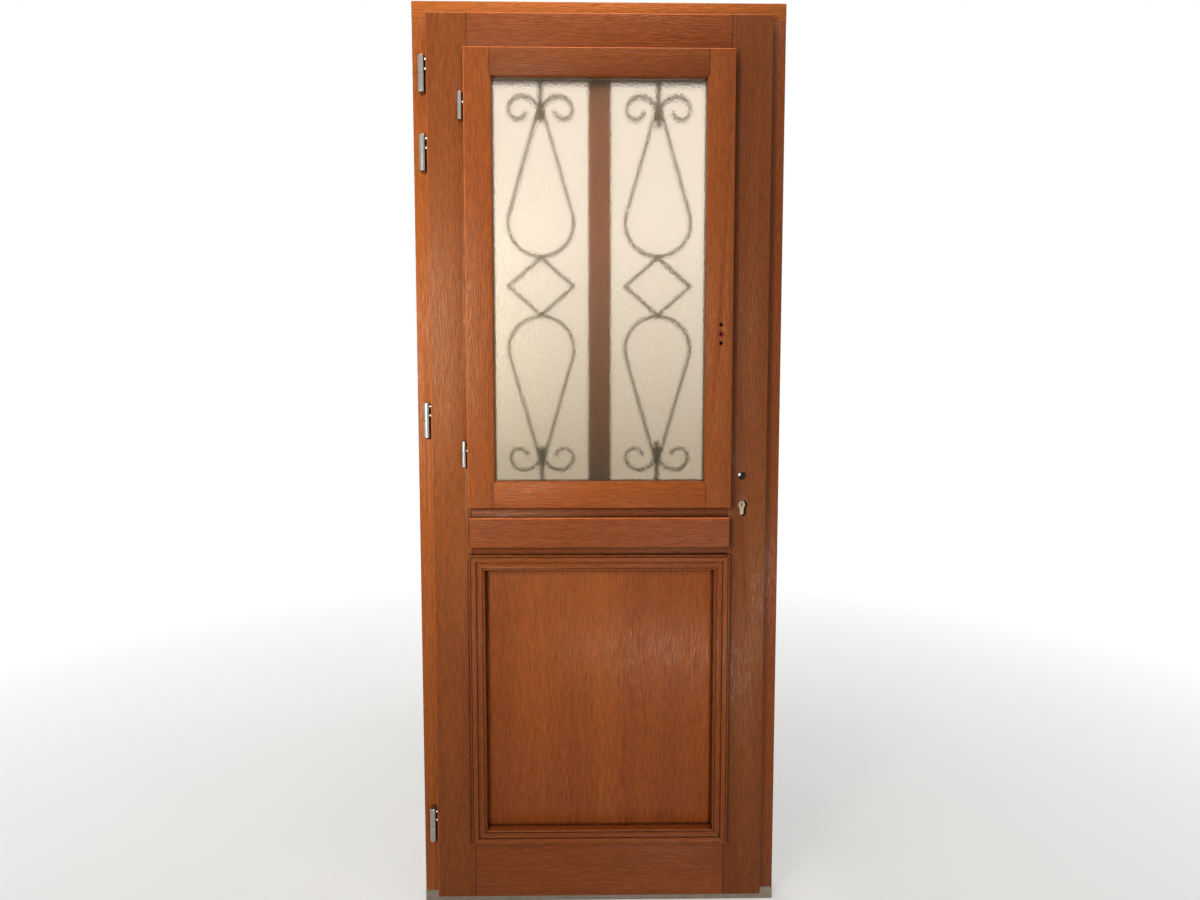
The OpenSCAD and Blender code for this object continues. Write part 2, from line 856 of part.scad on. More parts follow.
// Each bar is a little narrower than the one that it is welded into, and starts inside it
taper = 0.4;
weld = 3;
weld_angle = 4;
knot_grow = 0.6;
knot_r = iron_w / 2 + knot_grow;

// The diamond in the middle, with a small knot at each corner
module diamond() {
    corners = [[tip.x, 0], [0, tip.y], [-tip.x, 0], [0, -tip.y]];
    for (i = [0:3]) {
        iron_bar(corners[i], corners[(i + 1) % 4], iron_w);
        translate(corners[i]) circle(knot_r);
    }
}

// The teardrop above the middle, whose bars leave its round end at a tangent, and the two scrolls
neck_x = collar_r - iron_w / 2;
module teardrop() {
    neck = [neck_x, knob_z - round_z];
    tangent = atan2(neck.y, neck.x) - acos(round_r / norm(neck));
    foot = [round_r * cos(tangent), round_z + round_r * sin(tangent)];
    run = [neck_x, knob_z] - foot;
    start = foot - weld * run / norm(run);
    iron_arc([0, round_z], round_r, iron_w, -180 - tangent, tangent);
    for (s = [-1, 1]) {
        iron_bar([s * start.x, start.y], [s * neck_x, knob_z], iron_w - taper);
        mirror([s < 0 ? 1 : 0, 0]) translate([0, knob_z]) scroll();
    }
}

// A scroll of three arcs that run into each other: it leaves the collar in an open sweep, turns
// over a shoulder and ends in a curl
sweep_to = 165;
curl_from = -160;
module scroll() {
    sweep_c = fit * [scroll_x, scroll_up - sweep_r];
    shoulder_c = fit * [scroll_x, scroll_up - shoulder_r];
    curl_c = shoulder_c + fit * [shoulder_r - curl_r, 0];
    curl_w = iron_w - 2 * taper;
    iron_arc(sweep_c, fit * sweep_r, iron_w, 90, sweep_to);
    iron_arc(shoulder_c, fit * shoulder_r, iron_w - taper, 0, 90 + weld_angle);
    iron_arc(curl_c, fit * curl_r, curl_w, curl_from, weld_angle);
    translate(curl_c + fit * curl_r * [cos(curl_from), sin(curl_from)]) circle(knot_r);
}

// An olive-shaped collar about the origin
collar_end_r = 8;
module collar() {
    fall = collar_r - collar_end_r;
    bulge_r = (collar_h * collar_h / 4 + fall * fall) / (2 * fall);
    rotate_extrude() intersection() {
        rect([0, -collar_h / 2], [collar_r, collar_h / 2]);
        translate([collar_r - bulge_r, 0]) circle(bulge_r, $fn = 96);
    }
}

module grille(x, peg) {
    stem_len = light_half - knob_z + socket_d;
    reach = peg > 0 ? collar_h / 2 + peg : 0;
    color(iron) translate([x, grille_y, grille_z]) union() {
        along_y(-iron_d / 2, iron_d / 2) {
            diamond();
            teardrop();
            mirror([0, 1]) teardrop();
        }
        for (s = [-1, 1]) translate([0, 0, s * knob_z]) {
            collar();
            translate([0, 0, s > 0 ? -reach : -stem_len]) cylinder(r = stem_r, h = stem_len + reach);
        }
    }
}

// A flat seal on the front of the lights' frame, for the casement to close on
module casement_seal() {
    x = (light_x + case_body_x) / 2;
    z0 = (mid_top + light_bot) / 2;
    z1 = (open_top + light_top) / 2;
    color(rubber) along_y(light_front - seal_t, light_front) difference() {
        rect([-x - seal_w / 2, z0 - seal_w / 2], [x + seal_w / 2, z1 + seal_w / 2]);
        rect([-x + seal_w / 2, z0 + seal_w / 2], [x - seal_w / 2, z1 - seal_w / 2]);
    }
}

// Hinges

// Distances of the driven pins from a closed hinge's middle
function driven_zs(len) = [len / 2 - driven_out, len / 2 - driven_out - driven_step];
function small_driven_z() = small_len / 2 - driven_out * small_len / hinge_len - small_step;

// Half a barrel standing on z = 0, with a rounded cap
module barrel(r, h) {
    rotate_extrude() difference() {
        rect([0, 0], [r, h]);
        arris([r, h], cap_r, [-1, -1]);
    }
}

// Upper half: a bored barrel, with pins driven sideways into the door or the casement
module hinge_upper_half(r, len, pin_r, zs, out_r, out_len) {
    half = (len - hinge_slit) / 2;
    difference() {
        union() {
            translate([0, 0, hinge_slit / 2]) barrel(r, half);
            for (z = zs) rod_along_x([pin_r + bite, 0, z], out_r, out_len - pin_r - bite);
        }
        cylinder(r = pin_r + running, h = knuckle_share * half + bite);
    }
}

// Lower half: a barrel that carries the knuckle pin, with pins driven back into the wood
module hinge_lower_half(r, len, pin_r, zs, out_r, out_len) {
    half = (len - hinge_slit) / 2;
    mirror([0, 0, 1]) translate([0, 0, hinge_slit / 2]) barrel(r, half);
    translate([0, 0, -half / 2]) cylinder(r = pin_r, h = half / 2 + knuckle_share * half);
    for (z = zs) rod_along_y([0, r / 2, -z], out_r, out_len - r / 2);
}

module door_hinge_leaf_half(i) {
    color(nickel) translate([hinge_x, hinge_y, hinge_z[i]])
        hinge_upper_half(hinge_r, hinge_len, knuckle_r, driven_zs(hinge_len), driven_r,
                         hinge_r + hinge_gap + driven_in);
}

module door_hinge_frame_half(i) {
    color(nickel) translate([hinge_x, hinge_y, hinge_z[i]])
        hinge_lower_half(hinge_r, hinge_len, knuckle_r, driven_zs(hinge_len), driven_r,
                         hinge_r + hinge_gap + driven_in);
}

module casement_hinge_upper_half(i) {
    color(nickel) translate([small_x, small_y, small_z[i]])
        hinge_upper_half(small_r, small_len, small_knuckle_r, [small_driven_z()], small_driven_r,
                         small_r + small_gap + small_driven_in);
}

module casement_hinge_lower_half(i) {
    color(nickel) translate([small_x, small_y, small_z[i]])
        hinge_lower_half(small_r, small_len, small_knuckle_r, [small_driven_z()], small_driven_r,
                         leaf_front - small_y + small_driven_in);
}

// Door lock

module forend_outline(gap) {
    translate([lock_y, spindle_z + (forend_up - forend_down) / 2])
        slot(forend_w + 2 * gap, forend_up + forend_down + 2 * gap);
}

function forend_screws() = [spindle_z + forend_up - forend_w / 2, spindle_z - forend_down + forend_w / 2];

module latch_slot(gap) {
    rect([lock_y - latch_w / 2 - gap, latch_z - latch_h / 2 - gap],
         [lock_y + latch_w / 2 + gap, latch_z + latch_h / 2 + gap]);
}

module bolt_slot(gap) {
    rect([lock_y - bolt_w / 2 - gap, bolt_z - bolt_h / 2 - gap],
         [lock_y + bolt_w / 2 + gap, bolt_z + bolt_h / 2 + gap]);
}

// Outline of the profile cylinder about its plug's axis
module cylinder_outline(gap) {
    foot_r = cylinder_foot_w / 2;
    foot_z = cylinder_r + foot_r - cylinder_h;
    circle(cylinder_r + gap);
    rect([-foot_r - gap, foot_z], [foot_r + gap, 0]);
    translate([0, foot_z]) circle(foot_r + gap);
}

module countersink(x, z, dir) {
    depth = screw_head_r - screw_r;
    translate([x, lock_y, z]) rotate([0, dir * 90, 0]) {
        translate([0, 0, -2 * forend_t]) cylinder(r = screw_r, h = 2 * forend_t + bite);
        translate([0, 0, -depth]) cylinder(r1 = screw_r, r2 = screw_head_r, h = depth);
        cylinder(r = screw_head_r, h = bite);
    }
}

// Open-fronted sheet box, closed by the forend
module lock_case() {
    y0 = lock_y - case_w / 2;
    y1 = lock_y + case_w / 2;
    color(alloy) difference() {
        block([case_x0, y0, case_z0], [forend_x, y1, case_z1]);
        block([case_x0 + case_wall, y0 + case_wall, case_z0 + case_wall],
              [forend_x + bite, y1 - case_wall, case_z1 - case_wall]);
        rod_along_y([spindle_x, y0 - bite, spindle_z], hub_r + running, case_w + 2 * bite);
        along_y(y0 - bite, y1 + bite) translate([spindle_x, cylinder_z]) cylinder_outline(easy);
    }
}

module lock_forend() {
    color(nickel) difference() {
        along_x(forend_x, body_x) difference() {
            forend_outline(0);
            latch_slot(sliding);
            bolt_slot(sliding);
        }
        for (z = forend_screws()) countersink(body_x, z, 1);
    }
}

module lock_follower() {
    inside = case_w - 2 * case_wall - 2 * easy;
    color(nickel) difference() {
        union() {
            rod_along_y([spindle_x, lock_y - case_w / 2, spindle_z], hub_r, case_w);
            rod_along_y([spindle_x, lock_y - inside / 2, spindle_z], flange_r, inside);
            block([spindle_x - arm_w / 2, lock_y - inside / 2, spindle_z - arm_r],
                  [spindle_x + arm_w / 2, lock_y + inside / 2, spindle_z]);
        }
        translate([spindle_x, lock_y, spindle_z])
            cube([spindle_sq, case_w + 2 * bite, spindle_sq], center = true);
    }
}

// The latch's nose slants on the side that meets the strike when the door closes
module latch_bolt() {
    x1 = body_x - bolt_rest;
    x0 = x1 - latch_len;
    color(nickel) union() {
        along_z(latch_z - latch_h / 2, latch_z + latch_h / 2) polygon([
            [x0, lock_y - latch_w / 2], [x1, lock_y - latch_w / 2],
            [x1 - latch_nose, lock_y + latch_w / 2], [x0, lock_y + latch_w / 2]
        ]);
        block([x0 - latch_tail, lock_y - latch_tail_w / 2, latch_z - latch_tail_h / 2],
              [x0 + bite, lock_y + latch_tail_w / 2, latch_z + latch_tail_h / 2]);
    }
}

module dead_bolt() {
    x1 = body_x - bolt_rest;
    color(nickel) along_x(x1 - bolt_len, x1) bolt_slot(0);
}

module cylinder_body() {
    y0 = leaf_front + cylinder_in;
    y1 = leaf_back + cylinder_out;
    cam_room = cam_w / 2 + cam_gap;
    color(nickel) difference() {
        along_y(y0, y1) translate([spindle_x, cylinder_z]) cylinder_outline(0);
        rod_along_y([spindle_x, y0 - bite, cylinder_z], plug_r + running, y1 - y0 + 2 * bite);
        rod_along_y([spindle_x, lock_y - cam_room, cylinder_z], cam_r + cam_gap, 2 * cam_room);
    }
}

// The turning plug, with its cam in the middle and a keyway in each end
module cylinder_plug() {
    y0 = leaf_front + cylinder_in;
    y1 = leaf_back + cylinder_out;
    color(brass) difference() {
        union() {
            rod_along_y([spindle_x, y0, cylinder_z], plug_r, y1 - y0);
            along_y(lock_y - cam_w / 2, lock_y + cam_w / 2) translate([spindle_x, cylinder_z]) {
                circle(cam_ring_r);
                intersection() {
                    circle(cam_r);
                    rect([-cam_tongue_w / 2, -cam_r], [cam_tongue_w / 2, 0]);
                }
            }
        }
        for (y = [y0, y1]) translate([spindle_x, y, cylinder_z])
            cube([key_w, 2 * key_d, key_h], center = true);
    }
}

function strike_z0() = bolt_z - bolt_h / 2 - strike_end;
function strike_z1() = latch_z + latch_h / 2 + strike_end;
function strike_screws() = [strike_z0() + strike_end / 2, strike_z1() - strike_end / 2];

module strike_outline(gap) {
    rect([lock_y - strike_w / 2 - gap, strike_z0() - gap], [lock_y + strike_w / 2 + gap, strike_z1() + gap]);
}

module strike_plate() {
    color(nickel) difference() {
        along_x(rebate_x, rebate_x + strike_t) difference() {
            strike_outline(0);
            latch_slot(2 * sliding);
            bolt_slot(2 * sliding);
        }
        for (z = strike_screws()) countersink(rebate_x, z, -1);
    }
}

// Casement

// Section of the right stile; a rail's is the same, turned
module casement_section(edge_lip, edge_body, sight) {
    difference() {
        union() {
            rect([sight, case_front], [edge_lip, case_lip_back]);
            rect([sight, case_lip_back], [edge_body, case_back]);
        }
        rect([sight - bite, glass_front], [sight + glass_reb, case_back + bite]);
        arris([sight, case_front], ovolo_r, [1, 1]);
        arris([edge_lip, case_front], arris_r, [-1, 1]);
    }
}

// The lip's outline, rounded at the casement's top and bottom edges
module casement_end_section() {
    difference() {
        rect([case_front, case_bot], [case_back, case_top]);
        rect([case_lip_back, case_bot - bite], [case_back + bite, case_body_bot]);
        rect([case_lip_back, case_body_top], [case_back + bite, case_top + bite]);
        arris([case_front, case_bot], arris_r, [1, 1]);
        arris([case_front, case_top], arris_r, [1, -1]);
    }
}

module casement_stile_blank() {
    lo = sight_bot - glass_reb;
    hi = sight_top + glass_reb;
    intersection() {
        union() {
            along_z(case_bot, case_top) casement_section(case_x, case_body_x, sight_x);
            block([joint_x, glass_front, case_bot], [sight_x + glass_reb, case_back, lo]);
            block([joint_x, glass_front, hi], [sight_x + glass_reb, case_back, case_top]);
        }
        along_x(0, case_x) casement_end_section();
        along_y(case_front, case_back) polygon([
            [joint_x, case_bot], [case_x, case_bot], [case_x, case_top], [joint_x, case_top],
            [joint_x, sight_top + ovolo_r], [sight_x, sight_top],
            [sight_x, sight_bot], [joint_x, sight_bot - ovolo_r]
        ]);
    }
}

module casement_hinge_stile() {
    color(wood) difference() {
        mirror([1, 0, 0]) casement_stile_blank();
        for (z = small_z)
            rod_along_x([-case_x - bite, small_y, z + small_driven_z()],
                        small_driven_r + easy / 2, small_driven_in + 2 * bite);
    }
}

module casement_lock_stile() {
    color(wood) difference() {
        casement_stile_blank();
        block([rod_x - easy, rod_y - groove_w / 2, plate_z0() - easy],
              [case_body_x + bite, rod_y + groove_w / 2, plate_z1() + easy]);
        block([gear_x0 - easy, rod_y - gear_w / 2 - easy, handle_z - gear_h / 2 - easy],
              [case_body_x, rod_y + gear_w / 2 + easy, handle_z + gear_h / 2 + easy]);
        rod_along_y([handle_x, case_front - bite, handle_z], window_hole_r, rod_y - case_front + bite);
        for (s = [-1, 1])
            rod_along_y([handle_x, case_front - bite, handle_z + s * handle_screws / 2],
                        screw_hole_r, rod_y - case_front + bite);
    }
}

// A rail between the stiles; s is 1 for the top rail and -1 for the bottom one
module casement_rail(s) {
    edge = s > 0 ? case_top : case_bot;
    body = s > 0 ? case_body_top : case_body_bot;
    sight = s > 0 ? sight_top : sight_bot;
    color(wood) intersection() {
        along_x(-joint_x, joint_x) difference() {
            union() {
                rect([case_front, sight], [case_lip_back, edge]);
                rect([case_lip_back, sight], [case_back, body]);
            }
            rect([glass_front, sight - s * bite], [case_back + bite, sight + s * glass_reb]);
            arris([case_front, sight], ovolo_r, [1, s]);
            arris([case_front, edge], arris_r, [1, -s]);
        }
        along_y(case_front, case_back) polygon([
            [-joint_x, edge], [joint_x, edge], [joint_x, sight + s * ovolo_r], [sight_x, sight],
            [-sight_x, sight], [-joint_x, sight + s * ovolo_r]
        ]);
    }
}

module pane(y0) {
    color(glass, glass_alpha)
        block([-sight_x - pane_lap, y0, sight_bot - pane_lap],
              [sight_x + pane_lap, y0 + pane_t, sight_top + pane_lap]);
}

module inner_pane() {
    pane(glass_front);
}

module outer_pane() {
    pane(glass_back - pane_t);
}

// Metal bar that holds the panes apart between two films of sealant, seen as a thin line at the sight edge
sealant = 0.3;
module pane_spacer() {
    out = spacer_w - lip_gap;
    color(alloy) along_y(glass_front + pane_t + sealant, glass_back - pane_t - sealant) difference() {
        rect([-sight_x - out, sight_bot - out], [sight_x + out, sight_top + out]);
        rect([lip_gap - sight_x, sight_bot + lip_gap], [sight_x - lip_gap, sight_top - lip_gap]);
    }
}

// Four mitred beads behind the panes, splayed towards the outside
module glazing_beads() {
    bead_t = case_back - glass_back;
    x1 = sight_x + glass_reb;
    x2 = x1 - mitre_gap;
    z0 = sight_bot - glass_reb;
    z1 = sight_top + glass_reb;
    profile = [[0, 0], [glass_reb, 0], [glass_reb - bead_t / 2, bead_t], [0, bead_t]];
    color(wood) {
        for (s = [-1, 1]) intersection() {
            along_z(z0, z1) polygon([for (p = profile) [s * (x1 - p.x), glass_back + p.y]]);
            along_y(glass_back, case_back) polygon([
                [s * x1, z0], [s * x1, z1],
                [s * (x1 - glass_reb), z1 - glass_reb], [s * (x1 - glass_reb), z0 + glass_reb]
            ]);
        }
        for (e = [[z0, 1], [z1, -1]]) intersection() {
            along_x(-x1, x1) polygon([for (p = profile) [glass_back + p.y, e[0] + e[1] * p.x]]);
            along_y(glass_back, case_back) polygon([
                [-x2, e[0]], [x2, e[0]],
                [x2 - glass_reb, e[0] + e[1] * glass_reb], [glass_reb - x2, e[0] + e[1] * glass_reb]
            ]);
        }
    }
}

// Window lock in the casement's right stile

function plate_z0() = handle_z - roller_off - plate_end;
function plate_z1() = handle_z + roller_off + rod_throw + plate_end;

module window_lock_plate() {
    slot_h = rod_throw + 2 * roller_r + 2 * sliding;
    z_mid = (plate_z0() + plate_z1()) / 2;
    color(nickel) along_x(plate_x, case_body_x) difference() {
        translate([rod_y, z_mid]) slot(plate_w, plate_z1() - plate_z0());
        for (s = [-1, 1]) translate([rod_y, handle_z + s * roller_off + rod_throw / 2])
            slot(2 * roller_r + 2 * sliding, slot_h);
    }
}

// Sheet case round the follower, drilled through for the handle's screws
module window_lock_case() {
    y0 = rod_y - gear_w / 2;
    y1 = rod_y + gear_w / 2;
    color(alloy) difference() {
        block([gear_x0, y0, handle_z - gear_h / 2], [rod_x - easy, y1, handle_z + gear_h / 2]);
        block([gear_x0 + gear_wall, y0 + gear_wall, handle_z - gear_h / 2 + gear_wall],
              [rod_x, y1 - gear_wall, handle_z + gear_h / 2 - gear_wall]);
        rod_along_y([handle_x, y0 - bite, handle_z], window_hub_r + running, gear_w / 2);
        for (s = [-1, 1])
            rod_along_y([handle_x, y0 - bite, handle_z + s * handle_screws / 2],
                        screw_hole_r, gear_w + 2 * bite);
    }
}

module window_follower() {
    inside = gear_w - 2 * gear_wall - 2 * easy;
    hub_y = case_front + window_hub_in;
    flange_y = rod_y - inside / 2;
    color(red_plastic) difference() {
        union() {
            rod_along_y([handle_x, hub_y, handle_z], window_hub_r, flange_y - hub_y + bite);
            rod_along_y([handle_x, flange_y, handle_z], window_flange_r, inside);
        }
        translate([handle_x, hub_y, handle_z])
            cube([window_sq, 2 * case_t, window_sq], center = true);
    }
}

// Flat rod behind the plate, with a roller near each end
module window_bolt_rod() {
    color(nickel) union() {
        block([rod_x, rod_y - rod_w / 2, handle_z - roller_off - rod_end],
              [rod_x + rod_t, rod_y + rod_w / 2, handle_z + roller_off + rod_end]);
        for (s = [-1, 1])
            rod_along_x([rod_x, rod_y, handle_z + s * roller_off], roller_r,
                        case_body_x - rod_x + roller_out);
    }
}

// A roller's pocket in the leaf's stile: a way out to the room, and the run behind its keep
module keep_pocket(z) {
    r = roller_r + 2 * sliding;
    block([open_x - bite, leaf_front - bite, z - r], [open_x + keep_depth, rod_y + r, z + r]);
    block([open_x - bite, rod_y - r - keep_w - easy, z - r],
          [open_x + keep_depth, rod_y + r, z + rod_throw + keep_h / 2 + keep_end]);
}

module casement_keeps() {
    r = roller_r + sliding;
    color(nickel) for (s = [-1, 1]) {
        z = handle_z + s * roller_off + rod_throw;
        block([open_x + easy, rod_y - r - keep_w, z - keep_h / 2],
              [open_x + keep_depth, rod_y - r, z + keep_h / 2 + keep_end]);
    }
}

frame_head();
frame_hinge_jamb();
frame_lock_jamb();
threshold();
frame_seal();
strike_plate();
for (i = [1:4]) door_hinge_frame_half(i - 1);
leaf_hinge_stile();
leaf_lock_stile();
leaf_top_rail();
leaf_mid_rail();
leaf_bottom_rail();
mid_rail_band();
bottom_panel();
inner_moulding(0);  // inner_moulding_left
inner_moulding(1);  // inner_moulding_right
inner_moulding(2);  // inner_moulding_top
inner_moulding(3);  // inner_moulding_bottom
outer_moulding();
weather_bar();
light_frame_side(-1);  // light_frame_left
light_frame_side(1);  // light_frame_right
light_frame_rail(open_top, light_top);  // light_frame_top
light_frame_rail(mid_top, light_bot);  // light_frame_bottom
light_mullion();
grille(-grille_x, 0);  // grille_left
grille(grille_x, fit * peg_len);  // grille_right
casement_seal();
casement_keeps();
lock_case();
lock_forend();
cylinder_body();
for (i = [1:4]) door_hinge_leaf_half(i - 1);
for (i = [1:2])
    casement_hinge_lower_half(i - 1);
casement_hinge_stile();
casement_lock_stile();
casement_rail(1);  // casement_top_rail
casement_rail(-1);  // casement_bottom_rail
inner_pane();
outer_pane();
pane_spacer();
glazing_beads();
window_lock_case();
window_lock_plate();
for (i = [1:2])
    casement_hinge_upper_half(i - 1);
latch_bolt();
dead_bolt();
lock_follower();
cylinder_plug();
window_follower();
window_bolt_rod();
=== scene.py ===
"""Glazed wooden front door in its frame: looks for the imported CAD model."""

import math

import bmesh
import bpy
from mathutils import Matrix, Vector


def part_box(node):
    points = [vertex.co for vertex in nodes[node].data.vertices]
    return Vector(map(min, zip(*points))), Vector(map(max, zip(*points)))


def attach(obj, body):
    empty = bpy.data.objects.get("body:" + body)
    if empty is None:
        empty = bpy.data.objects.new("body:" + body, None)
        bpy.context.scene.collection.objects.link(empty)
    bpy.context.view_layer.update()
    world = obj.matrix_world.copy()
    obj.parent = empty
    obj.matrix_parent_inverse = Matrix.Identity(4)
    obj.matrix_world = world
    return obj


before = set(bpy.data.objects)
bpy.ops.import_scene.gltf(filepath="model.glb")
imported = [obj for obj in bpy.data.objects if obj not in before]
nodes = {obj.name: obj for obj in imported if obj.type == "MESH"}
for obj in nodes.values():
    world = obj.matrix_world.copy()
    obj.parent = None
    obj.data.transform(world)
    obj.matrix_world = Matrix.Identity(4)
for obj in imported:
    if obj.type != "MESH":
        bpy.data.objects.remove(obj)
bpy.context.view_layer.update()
scene = bpy.context.scene

# Camera, fitted to the photograph's viewing angle
CAMERA_AT = (-0.0217, -1.7149, 1.2439)
CAMERA_PITCH = 3.787
CAMERA_YAW = 0.777
CAMERA_LENS = 21.0
SENSOR_WIDTH = 36.0


def make_camera():
    data = bpy.data.cameras.new("camera")
    data.lens = CAMERA_LENS
    data.sensor_width = SENSOR_WIDTH
    camera = bpy.data.objects.new("camera", data)
    camera.location = CAMERA_AT
    camera.rotation_euler = (math.radians(90 - CAMERA_PITCH), 0, math.radians(-CAMERA_YAW))
    scene.collection.objects.link(camera)
    scene.camera = camera


make_camera()
scene.view_settings.view_transform = "Standard"


# Node trees

WHITE = (1.0, 1.0, 1.0, 1.0)
# The range in which most of a noise lies
NOISE_LOW, NOISE_HIGH = 0.3, 0.7


def linear(r, g, b):
    """An sRGB colour of 0 to 255 as the linear colour that shaders take."""
    def one(v):
        v /= 255.0
        return v / 12.92 if v <= 0.04045 else ((v + 0.055) / 1.055) ** 2.4
    return (one(r), one(g), one(b), 1.0)


class Graph:
    """A material's or world's node tree, with short calls that add and join nodes."""

    def __init__(self, owner, output):
        owner.use_nodes = True
        self.tree = owner.node_tree
        self.tree.nodes.clear()
        self.output = self.node(output)

    def put(self, node, socket, value):
        target = node.inputs[socket]
        if isinstance(value, bpy.types.NodeSocket):
            self.tree.links.new(value, target)
        else:
            target.default_value = value

    def node(self, kind, inputs=None, **settings):
        made = self.tree.nodes.new("ShaderNode" + kind)
        for name, value in settings.items():
            setattr(made, name, value)
        for socket, value in (inputs or {}).items():
            self.put(made, socket, value)
        return made

    def math(self, operation, a, b=0.0):
        return self.node("Math", {0: a, 1: b}, operation=operation).outputs[0]

    def sees_white(self):
        """1 for camera, glossy and transmission rays, which all see the white surround."""
        path = self.node("LightPath").outputs
        sharp = self.math("MAXIMUM", path["Is Glossy Ray"], path["Is Transmission Ray"])
        return self.math("MAXIMUM", path["Is Camera Ray"], sharp)

    def mix_shaders(self, factor, a, b):
        return self.node("MixShader", {0: factor, 1: a.outputs[0], 2: b.outputs[0]})

    def show(self, shader):
        self.tree.links.new(shader.outputs[0], self.output.inputs["Surface"])


class Shader(Graph):
    """A new material."""

    def __init__(self, name):
        self.material = bpy.data.materials.new(name)
        super().__init__(self.material, "OutputMaterial")

    def place(self):
        return self.node("TexCoord").outputs["Object"]

    def facing_y(self):
        """How far the surface faces along y: -1 faces the room, 1 the outside."""
        return self.split(self.node("TexCoord").outputs["Normal"])[1]

    def split(self, vector):
        return self.node("SeparateXYZ", {0: vector}).outputs

    def join(self, x, y, z):
        return self.node("CombineXYZ", {0: x, 1: y, 2: z}).outputs[0]

    def mapped(self, vector, scale, shift=(0, 0, 0)):
        made = self.node("Mapping", {"Vector": vector, "Scale": scale, "Location": shift})
        return made.outputs["Vector"]

    def noise(self, vector, often, detail=2.0, rough=0.5, bend=0.0):
        """Noise that repeats so often in a metre: one number, or one for each axis."""
        scale = often if isinstance(often, tuple) else (often, often, often)
        made = self.node("TexNoise", {"Vector": self.mapped(vector, scale), "Scale": 1.0,
                                      "Detail": detail, "Roughness": rough, "Distortion": bend})
        return made.outputs["Fac"]

    def spread(self, value, low, high, to_low, to_high):
        made = self.node("MapRange", {"Value": value, "From Min": low, "From Max": high,
                                      "To Min": to_low, "To Max": to_high})
        return made.outputs["Result"]

    def spread_noise(self, value, to_low, to_high):
        return self.spread(value, NOISE_LOW, NOISE_HIGH, to_low, to_high)

    def blend(self, a, b, share):
        """The value a with a share of b in it."""
        return self.math("ADD", self.math("MULTIPLY", a, 1 - share), self.math("MULTIPLY", b, share))

    def ramp(self, value, stops):
        made = self.node("ValToRGB", {"Fac": value})
        points = made.color_ramp.elements
        while len(points) < len(stops):
            points.new(0.5)
        for point, (at, colour) in zip(points, stops):
            point.position = at
            point.color = colour
        return made.outputs["Color"]

    def shades(self, value, dark, light):
        """Colours from dark to light over a noise's range."""
        return self.ramp(value, [(NOISE_LOW, dark), (NOISE_HIGH, light)])

    def mix(self, factor, a, b, blend="MIX"):
        made = self.node("Mix", {0: factor, 6: a, 7: b}, data_type="RGBA", blend_type=blend)
        return made.outputs[2]

    def bump(self, height, strength, distance):
        made = self.node("Bump", {"Height": height, "Strength": strength, "Distance": distance})
        return made.outputs["Normal"]

    def surface(self, inputs):
        self.show(self.node("BsdfPrincipled", inputs))
        return self.material


# Wood: broad figure, ribbons, streaks and pores that run along each board

WOOD_STOPS = [(0.28, linear(124, 62, 26)), (0.5, linear(137, 70, 29)), (0.72, linear(149, 79, 34))]
LACQUER_TINT = (1.0, 0.85, 0.68, 1.0)
LACQUER_LEVEL = 0.19
LACQUER_IOR = 1.5

# How often each layer repeats in a metre: across, through and along the board
FIGURE = (9, 9, 0.5)
RIBBON = (90, 90, 1.6)
STREAK = (460, 460, 34)
RELIEF = (300, 300, 38)
PORE = (850, 850, 30)
RIBBON_SHARE = 0.28
PORE_SHARE = 0.3
GRAIN_STEP = (0.37, 0.23, 1.71)

# A layer's low and high value, and what they turn into
STREAK_SHADE = (0.32, 0.68, 0.75, 1.20)
PORE_SHADE = (0.32, 0.48, 0.70, 1.02)
# NOOK_SHADE turns ambient occlusion into painted shade in nooks
NOOK_SHADE = (0.45, 0.95, 0.18, 1.0)
RELIEF_ROUGHNESS = (0.38, 0.62, 0.48, 0.19)
NOOK_REACH = 0.007
NOOK_SAMPLES = 2
GRAIN_BUMP = 0.9
GRAIN_DEPTH = 0.0018

JOINT_W = 0.0024
JOINT_CORE = 0.25 * JOINT_W
JOINT_DARK = 0.2
# Painted highlight along the top and left arrises: its width, core, fade and gain on each side
ARRIS_W = 0.0032
ARRIS_CORE = 0.4 * ARRIS_W
ARRIS_FADE = 1.3 * ARRIS_W
ARRIS_GAIN = {"l": 1.0, "t": 1.8}
ROOM_FACING = -0.5


def grain_vector(s, across, through, along, seed):
    """The place on a board with its last axis along the grain, moved on for each board."""
    shift = tuple(step * seed for step in GRAIN_STEP)
    return s.mapped(s.join(across, through, along), (1, 1, 1), shift)


def joint_line(s, x, low, high):
    """Dark at a rail's two ends, along the joint."""
    middle, half = (low.x + high.x) / 2, (high.x - low.x) / 2
    inside = s.math("SUBTRACT", half, s.math("ABSOLUTE", s.math("SUBTRACT", x, middle)))
    return s.spread(inside, JOINT_CORE, JOINT_W, JOINT_DARK, 1.0)


def painted_arris_highlight(s, place, low, high, sides):
    """Painted highlight along the front arrises named by sides (l left, t top), the edges that face
    the light.
    """
    x, y, z = place
    away = {"l": s.math("SUBTRACT", x, low.x), "t": s.math("SUBTRACT", high.z, z)}
    front = s.spread(s.math("SUBTRACT", y, low.y), ARRIS_W, ARRIS_FADE, 1.0, 0.0)
    gain = 0.0
    for side in sides:
        edge = s.spread(away[side], ARRIS_CORE, ARRIS_W, ARRIS_GAIN[side], 0.0)
        gain = s.math("MAXIMUM", gain, s.math("MULTIPLY", edge, front))
    return s.math("ADD", gain, 1.0)


